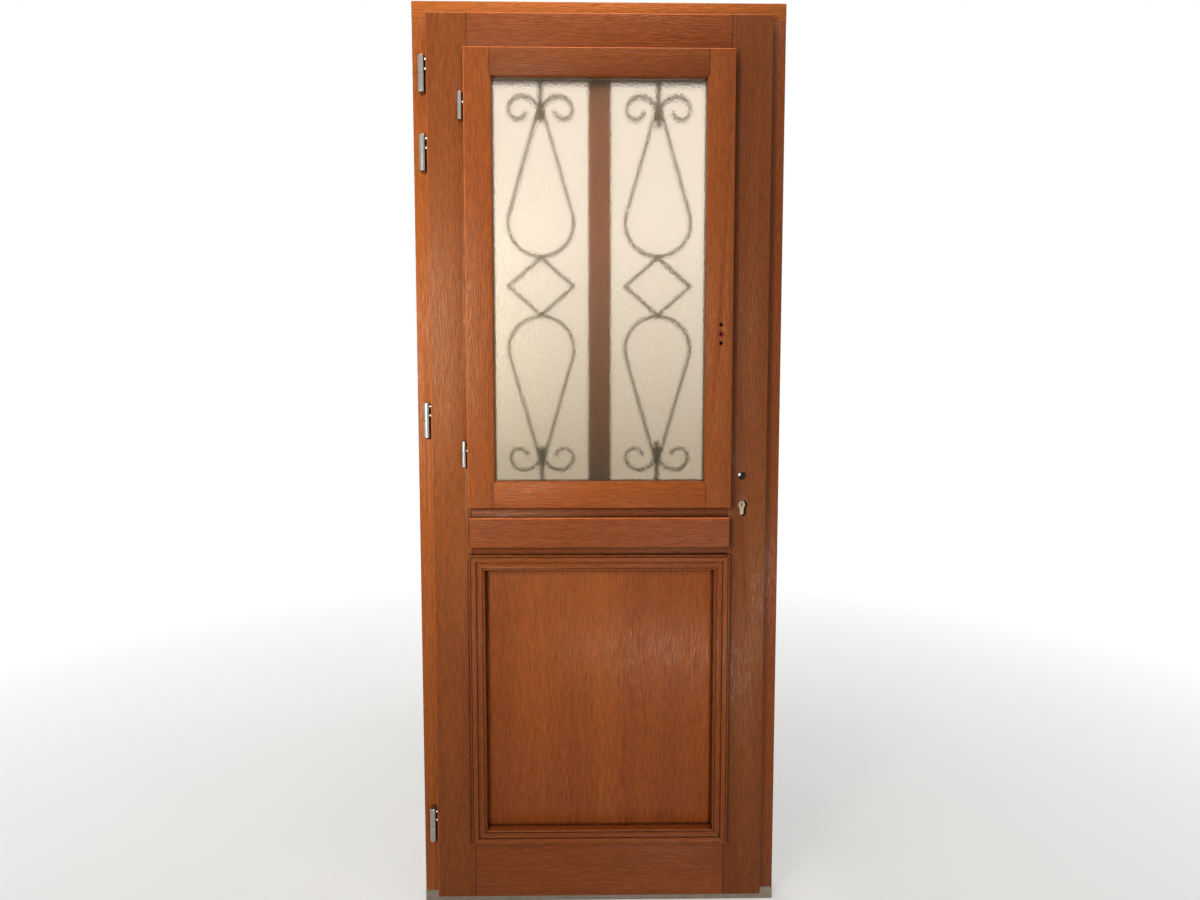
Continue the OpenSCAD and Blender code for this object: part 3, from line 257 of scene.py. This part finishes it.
def wood_surface(s, vector, stain_and_painted_light, extra=()):
    """Lacquered wood with painted shade in its nooks, and its shade multiplied by each value of extra.
    """
    figure = s.noise(vector, FIGURE, detail=2.0, bend=0.5)
    ribbon = s.noise(vector, RIBBON, detail=3.0, rough=0.55)
    streak = s.noise(vector, STREAK, detail=3.0, rough=0.6)
    relief = s.noise(vector, RELIEF, detail=2.0, rough=0.55)
    pore = s.noise(vector, PORE, detail=2.0, rough=0.6)
    colour = s.ramp(s.blend(figure, ribbon, RIBBON_SHARE), WOOD_STOPS)
    # Painted shade: ambient occlusion darkens the colour in nooks, creases and between parts
    nook = s.node("AmbientOcclusion", {"Distance": NOOK_REACH}, samples=NOOK_SAMPLES).outputs["AO"]
    shade = s.math("MULTIPLY", s.spread(streak, *STREAK_SHADE), s.spread(pore, *PORE_SHADE))
    for part in (s.spread(nook, *NOOK_SHADE), *extra):
        shade = s.math("MULTIPLY", shade, part)
    grey = s.node("CombineColor", {0: shade, 1: shade, 2: shade}).outputs[0]
    colour = s.mix(1.0, colour, grey, "MULTIPLY")
    return s.surface({
        "Base Color": s.mix(1.0, colour, stain_and_painted_light, "MULTIPLY"),
        "Roughness": s.spread(relief, *RELIEF_ROUGHNESS),
        "Specular IOR Level": LACQUER_LEVEL,
        "Specular Tint": LACQUER_TINT,
        "Normal": s.bump(s.blend(relief, pore, PORE_SHARE), GRAIN_BUMP, GRAIN_DEPTH),
        "IOR": LACQUER_IOR,
    })


def board_wood(node, axis, seed, stain_and_painted_light):
    """Wood of one board, with its grain along x or z."""
    s = Shader("wood_" + node)
    low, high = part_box(node)
    place = s.split(s.place())
    x, y, z = place
    extra = []
    if node in JOINTED:
        extra.append(joint_line(s, x, low, high))
    if node in PAINTED_ARRIS_SIDES:
        extra.append(painted_arris_highlight(s, place, low, high, PAINTED_ARRIS_SIDES[node]))
    # Painted light: the faces that look into the room take a lighter colour of their own
    if node in PAINTED_ROOM_FACES:
        stain_and_painted_light = s.mix(s.math("LESS_THAN", s.facing_y(), ROOM_FACING), stain_and_painted_light, PAINTED_ROOM_FACES[node])
    across, along = (x, z) if axis == "z" else (z, x)
    return wood_surface(s, grain_vector(s, across, y, along, seed), stain_and_painted_light, extra)


def ring_wood(node, seed, stain_and_painted_light):
    """Wood of four mitred lengths in one node: upright grain at the sides, level above and below."""
    s = Shader("wood_" + node)
    low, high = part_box(node)
    x, y, z = s.split(s.place())
    side = s.math("SUBTRACT", high.x, s.math("ABSOLUTE", x))
    end = s.math("MINIMUM", s.math("SUBTRACT", z, low.z), s.math("SUBTRACT", high.z, z))
    upright = s.math("LESS_THAN", side, end)
    level = s.math("SUBTRACT", 1.0, upright)
    along = s.math("ADD", s.math("MULTIPLY", z, upright), s.math("MULTIPLY", x, level))
    across = s.math("ADD", s.math("MULTIPLY", x, upright), s.math("MULTIPLY", z, level))
    return wood_surface(s, grain_vector(s, across, y, along, seed), stain_and_painted_light)


def tone(r, g, b):
    """What a board's stain multiplies the wood's colour by; a few of them also hold painted light or
    shade.
    """
    return (r, g, b, 1.0)


PLAIN = tone(1.0, 1.0, 1.0)
# Painted light: the frame head's stain is much lighter, for the strong light that falls on it from
# above
HEAD_PAINTED_LIGHT = tone(1.60, 1.75, 1.45)
GOLD = tone(1.25, 1.28, 1.15)
WARM = tone(1.03, 0.94, 0.72)
SOFT = tone(0.82, 0.84, 0.88)
RUSSET = tone(0.90, 0.84, 0.92)
BROWN = tone(0.74, 0.70, 0.78)
SATIN = tone(1.06, 1.05, 1.14)
DEEP = tone(0.86, 0.84, 0.87)
# Painted shade: the lock stile's stain is darker, for the shadow cast on it by light from the left
STILE_PAINTED_SHADE = tone(0.63, 0.66, 0.78)
SHADED = tone(1.20, 1.10, 0.75)
# Painted light, for the mullion's room face only
PAINTED_ROOM_FACE = tone(2.25, 1.80, 0.35)
# Painted shade: the top of the light frame is stained dark, so that its underside reads as in shade
UNLIT = tone(0.70, 0.56, 0.40)

# Each board's grain axis and stain, which for a few boards holds painted light or shade
BOARDS = {
    "frame_head": ("x", HEAD_PAINTED_LIGHT), "frame_hinge_jamb": ("z", GOLD), "frame_lock_jamb": ("z", DEEP),
    "leaf_hinge_stile": ("z", SOFT), "leaf_lock_stile": ("z", STILE_PAINTED_SHADE),
    "leaf_top_rail": ("x", RUSSET), "leaf_mid_rail": ("x", BROWN), "leaf_bottom_rail": ("x", DEEP),
    "mid_rail_band": ("x", RUSSET), "bottom_panel": ("z", SATIN), "weather_bar": ("x", DEEP),
    "inner_moulding_left": ("z", DEEP), "inner_moulding_right": ("z", DEEP),
    "inner_moulding_top": ("x", DEEP), "inner_moulding_bottom": ("x", DEEP),
    "light_frame_left": ("z", SHADED), "light_frame_right": ("z", SHADED),
    "light_frame_top": ("x", UNLIT), "light_frame_bottom": ("x", SHADED),
    "light_mullion": ("z", SHADED),
    "casement_hinge_stile": ("z", PLAIN), "casement_lock_stile": ("z", PLAIN),
    "casement_top_rail": ("x", BROWN), "casement_bottom_rail": ("x", WARM),
}

# Four mitred lengths in one node, with the seed of their grain
RINGS = {"outer_moulding": (31, DEEP), "glazing_beads": (37, PLAIN)}

# Rails with a joint line at both ends
JOINTED = (
    "leaf_top_rail", "leaf_mid_rail", "leaf_bottom_rail",
    "casement_top_rail", "casement_bottom_rail",
)

# Boards with a painted highlight along the arrises on the left and at the top
PAINTED_ARRIS_SIDES = {
    "leaf_hinge_stile": "lt", "leaf_top_rail": "t", "leaf_lock_stile": "t",
    "casement_hinge_stile": "lt", "casement_top_rail": "t", "casement_lock_stile": "t",
    "mid_rail_band": "t",
}

# Painted light: the mullion's room face is coloured lighter and more orange than its other faces, so
# that it shows brown through the panes
PAINTED_ROOM_FACES = {"light_mullion": PAINTED_ROOM_FACE}


# Glass, metal, paint, rubber and plastic

GLASS_SHEEN = (1.0, 0.93, 0.70, 1.0)
# The pane's cream tint with painted light in it: darker and browner at the foot, paler at the head
PANE_TINT_AND_LIGHT = [
    (0.04, linear(186, 167, 143)), (0.30, linear(223, 204, 182)), (0.62, linear(253, 235, 216)),
]
PANE_TINT_DRIFT = 0.04
PANE_GRAIN = 300
PANE_WAVES = 130
PANE_WAVE_SHARE = 0.15
PANE_BUMP = 0.9
PANE_DEPTH = 0.0010
CLEAR_DRIFT = 3

METAL_MARKS = 900
METAL_CLOUD = 35
METAL_CLOUD_SHARE = 0.4
METAL_ROUGHER, METAL_SMOOTHER = 0.07, 0.05
METAL_BUMP = 0.08
METAL_DEPTH = 0.0003

SPACER_SPECKS = 700
SPACER_EDGE = 0.7
DULL_ROUGHER = 0.06


def obscured_glass():
    """Glass with a fine hammered face, which scatters what stands behind it into grains."""
    s = Shader("obscured_glass")
    place = s.place()
    grain = s.noise(place, PANE_GRAIN, detail=0.0)
    waves = s.noise(place, PANE_WAVES, detail=1.0)
    low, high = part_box("inner_pane")
    # Painted light: the colour runs from darker at the foot to paler at the head of the pane
    rise = s.spread(s.split(place)[2], low.z, high.z, 0.0, 1.0)
    drift = s.spread_noise(waves, -PANE_TINT_DRIFT, PANE_TINT_DRIFT)
    return s.surface({
        "Base Color": s.ramp(s.math("ADD", rise, drift), PANE_TINT_AND_LIGHT),
        "Roughness": 0.30, "IOR": 1.42, "Transmission Weight": 1.0, "Specular IOR Level": 0.15,
        "Specular Tint": GLASS_SHEEN,
        "Normal": s.bump(s.blend(grain, waves, PANE_WAVE_SHARE), PANE_BUMP, PANE_DEPTH),
    })


def clear_glass():
    s = Shader("clear_glass")
    drift = s.noise(s.place(), CLEAR_DRIFT, detail=1.0)
    return s.surface({
        "Base Color": s.shades(drift, linear(246, 250, 247), linear(252, 253, 251)),
        "Roughness": 0.0, "IOR": 1.5, "Transmission Weight": 1.0,
        "Specular Tint": GLASS_SHEEN,
    })


def metal(name, dark, light, rough, stretch, marks=METAL_MARKS):
    """Metal with fine marks that run along the axis where stretch is small."""
    s = Shader(name)
    place = s.place()
    lines = s.noise(place, tuple(marks * v for v in stretch), detail=3.0, rough=0.6)
    cloud = s.noise(place, METAL_CLOUD, detail=2.0)
    wear = s.blend(lines, cloud, METAL_CLOUD_SHARE)
    return s.surface({
        "Base Color": s.shades(wear, dark, light),
        "Metallic": 1.0,
        "Roughness": s.spread_noise(wear, rough + METAL_ROUGHER, rough - METAL_SMOOTHER),
        "Normal": s.bump(lines, METAL_BUMP, METAL_DEPTH),
    })


def spacer_bar():
    """Bright front edge, and dark speckled sides that face the space between the panes."""
    s = Shader("spacer")
    front = s.math("GREATER_THAN", s.math("ABSOLUTE", s.facing_y()), SPACER_EDGE)
    specks = s.noise(s.place(), SPACER_SPECKS, detail=2.0, rough=0.7)
    dark = s.ramp(specks, [(0.35, linear(44, 33, 26)), (0.65, linear(84, 64, 50))])
    bright = s.shades(specks, linear(206, 200, 190), linear(232, 228, 220))
    return s.surface({"Base Color": s.mix(front, dark, bright), "Roughness": 0.5,
                      "Specular IOR Level": 0.2})


def dull(name, dark, light, rough, fine, bump, depth):
    """Paint, rubber or moulded plastic with a fine mottle."""
    s = Shader(name)
    mottle = s.noise(s.place(), fine, detail=3.0, rough=0.6)
    return s.surface({
        "Base Color": s.shades(mottle, dark, light),
        "Roughness": s.spread_noise(mottle, rough + DULL_ROUGHER, rough - DULL_ROUGHER),
        "Normal": s.bump(mottle, bump, depth),
    })


NICKEL = metal("nickel", linear(136, 133, 126), linear(174, 170, 162), 0.27, (1, 1, 0.08))
PLATE = metal("plate_nickel", linear(146, 144, 137), linear(182, 180, 173), 0.32, (1, 1, 0.05))
STEEL = metal("dark_steel", linear(40, 38, 36), linear(66, 63, 60), 0.45, (1, 1, 1), marks=300)
BRASS = metal("brass", linear(112, 99, 79), linear(146, 132, 108), 0.38, (1, 0.1, 1))
ALUMINIUM = metal("aluminium", linear(122, 112, 98), linear(154, 145, 131), 0.44, (0.02, 1, 1))
ZINC = metal("zinc", linear(124, 126, 126), linear(156, 158, 156), 0.45, (1, 1, 1), marks=160)
SPACER = spacer_bar()
IRON = dull("iron", linear(62, 66, 56), linear(90, 94, 82), 0.52, 260, 0.5, 0.0006)
RUBBER = dull("rubber", linear(24, 21, 19), linear(38, 34, 31), 0.72, 500, 0.3, 0.0002)
RED = dull("red_plastic", linear(142, 22, 22), linear(168, 42, 38), 0.42, 380, 0.2, 0.0002)
OBSCURED = obscured_glass()
CLEAR = clear_glass()

FINISHES = {
    "threshold": ALUMINIUM, "frame_seal": RUBBER, "casement_seal": RUBBER,
    "strike_plate": PLATE, "lock_forend": PLATE, "window_lock_plate": PLATE, "casement_keeps": PLATE,
    "lock_case": ZINC, "window_lock_case": ZINC, "window_bolt_rod": ZINC,
    "latch_bolt": NICKEL, "dead_bolt": NICKEL, "lock_follower": STEEL,
    "cylinder_body": BRASS, "cylinder_plug": BRASS, "window_follower": RED,
    "grille_left": IRON, "grille_right": IRON, "pane_spacer": SPACER,
    "inner_pane": OBSCURED, "outer_pane": CLEAR,
}
DOOR_HINGES = 4
CASEMENT_HINGES = 2
for i in range(1, DOOR_HINGES + 1):
    FINISHES[f"door_hinge_frame_half_{i}"] = NICKEL
    FINISHES[f"door_hinge_leaf_half_{i}"] = NICKEL
for i in range(1, CASEMENT_HINGES + 1):
    FINISHES[f"casement_hinge_lower_half_{i}"] = NICKEL
    FINISHES[f"casement_hinge_upper_half_{i}"] = NICKEL


def dress(node, material):
    for slot in nodes[node].material_slots:
        slot.material = material


for seed, (node, (axis, stain_and_painted_light)) in enumerate(sorted(BOARDS.items()), 1):
    dress(node, board_wood(node, axis, seed, stain_and_painted_light))
for node, (seed, stain_and_painted_light) in RINGS.items():
    dress(node, ring_wood(node, seed, stain_and_painted_light))
for node, material in FINISHES.items():
    dress(node, material)


# Edges: modifiers that take the knife edges off boards and plates

JOIN_DISTANCE = 1e-6
FLAT_ANGLE = 0.3
BEVEL_ANGLE = 40
BEVEL_SEGMENTS = 2
SMOOTH_ANGLE = 32
BOARD_EDGE = 0.0014
MOULD_EDGE = 0.0005
PLATE_EDGE = 0.0003


def geometry_group(name):
    """A modifier's node group, with one geometry in and one out."""
    group = bpy.data.node_groups.new(name, "GeometryNodeTree")
    for way in ("INPUT", "OUTPUT"):
        group.interface.new_socket("Geometry", in_out=way, socket_type="NodeSocketGeometry")
    return group


def chain(group, *steps):
    """Passes the geometry from the group's input through each step to its output."""
    start, end = group.nodes.new("NodeGroupInput"), group.nodes.new("NodeGroupOutput")
    line = (start, *steps, end)
    for a, b in zip(line, line[1:]):
        group.links.new(a.outputs[0], b.inputs["Geometry"])


def join_group():
    """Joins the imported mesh's split corners and drops its stored normals."""
    group = geometry_group("join_corners")
    merge = group.nodes.new("GeometryNodeMergeByDistance")
    merge.inputs["Distance"].default_value = JOIN_DISTANCE
    drop = group.nodes.new("GeometryNodeRemoveAttribute")
    drop.inputs["Name"].default_value = "custom_normal"
    chain(group, merge, drop)
    return group


def smooth_group():
    """Smooth shading, with the sharper edges kept."""
    group = geometry_group("smooth_faces")
    faces = group.nodes.new("GeometryNodeSetShadeSmooth")
    faces.domain = "FACE"
    faces.inputs["Shade Smooth"].default_value = True
    edges = group.nodes.new("GeometryNodeSetShadeSmooth")
    edges.domain = "EDGE"
    angle = group.nodes.new("GeometryNodeInputMeshEdgeAngle")
    below = group.nodes.new("FunctionNodeCompare")
    below.data_type = "FLOAT"
    below.operation = "LESS_THAN"
    below.inputs["B"].default_value = math.radians(SMOOTH_ANGLE)
    group.links.new(angle.outputs["Unsigned Angle"], below.inputs["A"])
    group.links.new(below.outputs["Result"], edges.inputs["Shade Smooth"])
    chain(group, faces, edges)
    return group


JOIN = join_group()
SMOOTH = smooth_group()


def soften(node, width):
    """Rounds a node's sharp edges by a modifier, so that they catch the light."""
    piece = nodes[node]
    piece.modifiers.new("join", "NODES").node_group = JOIN
    flat = piece.modifiers.new("flat", "DECIMATE")
    flat.decimate_type = "DISSOLVE"
    flat.angle_limit = math.radians(FLAT_ANGLE)
    bevel = piece.modifiers.new("edge", "BEVEL")
    bevel.width = width
    bevel.segments = BEVEL_SEGMENTS
    bevel.limit_method = "ANGLE"
    bevel.angle_limit = math.radians(BEVEL_ANGLE)
    bevel.use_clamp_overlap = True
    piece.modifiers.new("smooth", "NODES").node_group = SMOOTH


for node in list(BOARDS) + list(RINGS):
    soften(node, MOULD_EDGE if "moulding" in node else BOARD_EDGE)
for node in ("strike_plate", "lock_forend", "window_lock_plate", "latch_bolt", "dead_bolt"):
    soften(node, PLATE_EDGE)


# Small countersunk screws of the forend and the strike plate

HEAD_R = 0.0040
HEAD_DEPTH = 0.0018
HEAD_DOME = 0.00015
SHANK_R = 0.0021
RECESS_R = 0.62 * HEAD_R
RECESS_DEPTH = 0.0011
RECESS_HALF_W = 0.00055
SCREW_RINGS = 14
SCREW_SIDES = 64
SCREW_SINK = 0.0002
FOREND_SCREW_END = 0.010
STRIKE_SCREW_END = 0.007


def on_circle(r, k):
    angle = 2 * math.pi * k / SCREW_SIDES
    return r * math.cos(angle), r * math.sin(angle)


def screw_mesh(name):
    """A countersunk head with a cross recess, facing up, with its rim at height 0."""
    mesh = bmesh.new()
    top = []
    for i in range(SCREW_RINGS + 1):
        r = HEAD_R * i / SCREW_RINGS
        row = []
        for k in range(SCREW_SIDES if i else 1):
            x, y = on_circle(r, k)
            cross = min(abs(x), abs(y)) < RECESS_HALF_W and r < RECESS_R
            z = -RECESS_DEPTH if cross else HEAD_DOME * (1 - (r / HEAD_R) ** 2)
            row.append(mesh.verts.new((x, y, z)))
        top.append(row)
    under = [mesh.verts.new((*on_circle(SHANK_R, k), -HEAD_DEPTH)) for k in range(SCREW_SIDES)]
    for k in range(SCREW_SIDES):
        n = (k + 1) % SCREW_SIDES
        mesh.faces.new((top[0][0], top[1][k], top[1][n]))
        for row, outer in zip(top[1:], top[2:]):
            mesh.faces.new((row[k], outer[k], outer[n], row[n]))
        mesh.faces.new((top[-1][k], under[k], under[n], top[-1][n]))
    mesh.faces.new(list(reversed(under)))
    data = bpy.data.meshes.new(name)
    mesh.to_mesh(data)
    mesh.free()
    return data


def screw(name, centre, facing, body):
    data = screw_mesh(name)
    data.materials.append(PLATE)
    piece = bpy.data.objects.new(name, data)
    turn = Vector((0, 0, 1)).rotation_difference(Vector(facing)).to_matrix().to_4x4()
    piece.matrix_world = Matrix.Translation(centre) @ turn
    scene.collection.objects.link(piece)
    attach(piece, body)


def plate_screws(node, body, facing, end):
    """Two screws, so far from the ends of a plate that faces along x (1) or against it (-1)."""
    low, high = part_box(node)
    face = high.x - SCREW_SINK if facing > 0 else low.x + SCREW_SINK
    mid_y = (low.y + high.y) / 2
    for i, z in enumerate((low.z + end, high.z - end), 1):
        screw(f"{node}_screw_{i}", Vector((face, mid_y, z)), (facing, 0, 0), body)


plate_screws("lock_forend", "leaf", 1, FOREND_SCREW_END)
plate_screws("strike_plate", "frame", -1, STRIKE_SCREW_END)


# Stage: pale floor, soft lamps and a white surround

FLOOR_HALF = 4.0
FLOOR_DRIFT = 1.5
# Near and far distance from the door, and how white the floor looks there
FLOOR_WHITE = (0.7, 3.2, 0.45, 1.0)
WORLD_COLOUR = (1.0, 0.98, 0.95, 1.0)
WORLD_LIGHT = 0.27


def floor_material():
    """Matt floor that keeps the shadow near the door and runs out into the white around it."""
    s = Shader("floor")
    place = s.place()
    drift = s.noise(place, FLOOR_DRIFT, detail=2.0)
    paint = s.shades(drift, linear(218, 216, 212), linear(226, 224, 220))
    matt = s.node("BsdfPrincipled", {"Base Color": paint, "Roughness": 0.7, "Specular IOR Level": 0.1})
    white = s.node("Emission", {"Color": WHITE, "Strength": 1.0})
    away = s.node("VectorMath", {0: place}, operation="LENGTH").outputs["Value"]
    shown = s.math("MULTIPLY", s.sees_white(), s.spread(away, *FLOOR_WHITE))
    s.show(s.mix_shaders(shown, matt, white))
    return s.material


def make_floor():
    data = bpy.data.meshes.new("floor")
    corners = [(x * FLOOR_HALF, y * FLOOR_HALF, 0) for x, y in ((-1, -1), (1, -1), (1, 1), (-1, 1))]
    data.from_pydata(corners, [], [(0, 1, 2, 3)])
    data.materials.append(floor_material())
    piece = bpy.data.objects.new("floor", data)
    scene.collection.objects.link(piece)


def lamp(name, at, to, size, watts, colour, spread=180):
    """A soft rectangular lamp, which the glass doesn't show."""
    data = bpy.data.lights.new(name, "AREA")
    data.spread = math.radians(spread)
    data.shape = "RECTANGLE"
    data.size, data.size_y = size
    data.energy = watts
    data.color = colour
    piece = bpy.data.objects.new(name, data)
    piece.location = at
    piece.rotation_mode = "QUATERNION"
    piece.rotation_quaternion = (Vector(to) - Vector(at)).to_track_quat("-Z", "Y")
    piece.visible_transmission = False
    scene.collection.objects.link(piece)


def make_world():
    """Plain soft light, and a white surround for the camera and for what metal and glass show."""
    world = bpy.data.worlds.new("studio")
    scene.world = world
    w = Graph(world, "OutputWorld")
    light = w.node("Background", {"Color": WORLD_COLOUR, "Strength": WORLD_LIGHT})
    white = w.node("Background", {"Color": WHITE, "Strength": 1.0})
    w.show(w.mix_shaders(w.sees_white(), light, white))


make_floor()
lamp("key", at=(-1.15, -2.3, 1.9), to=(0, 0, 1.5), size=(0.8, 0.8),
     watts=13.5, colour=(1.0, 0.97, 0.93))
lamp("window", at=(-0.70, -1.30, 1.52), to=(-0.42, 0, 1.45), size=(0.28, 0.8),
     watts=8.5, colour=(1.0, 0.96, 0.82), spread=120)
lamp("ceiling", at=(0.0, -0.42, 3.0), to=(0.0, -0.1, 1.6), size=(1.1, 0.25),
     watts=15, colour=(1.0, 0.93, 0.82))
lamp("low", at=(0.66, -1.75, 0.25), to=(0.35, 0, 0.7), size=(0.6, 0.34),
     watts=3.0, colour=(1.0, 0.98, 0.96), spread=95)
lamp("behind", at=(-1.2, 2.6, 2.6), to=(0, 0, 1.1), size=(1.8, 1.4),
     watts=40, colour=(1.0, 0.98, 0.95))
make_world()
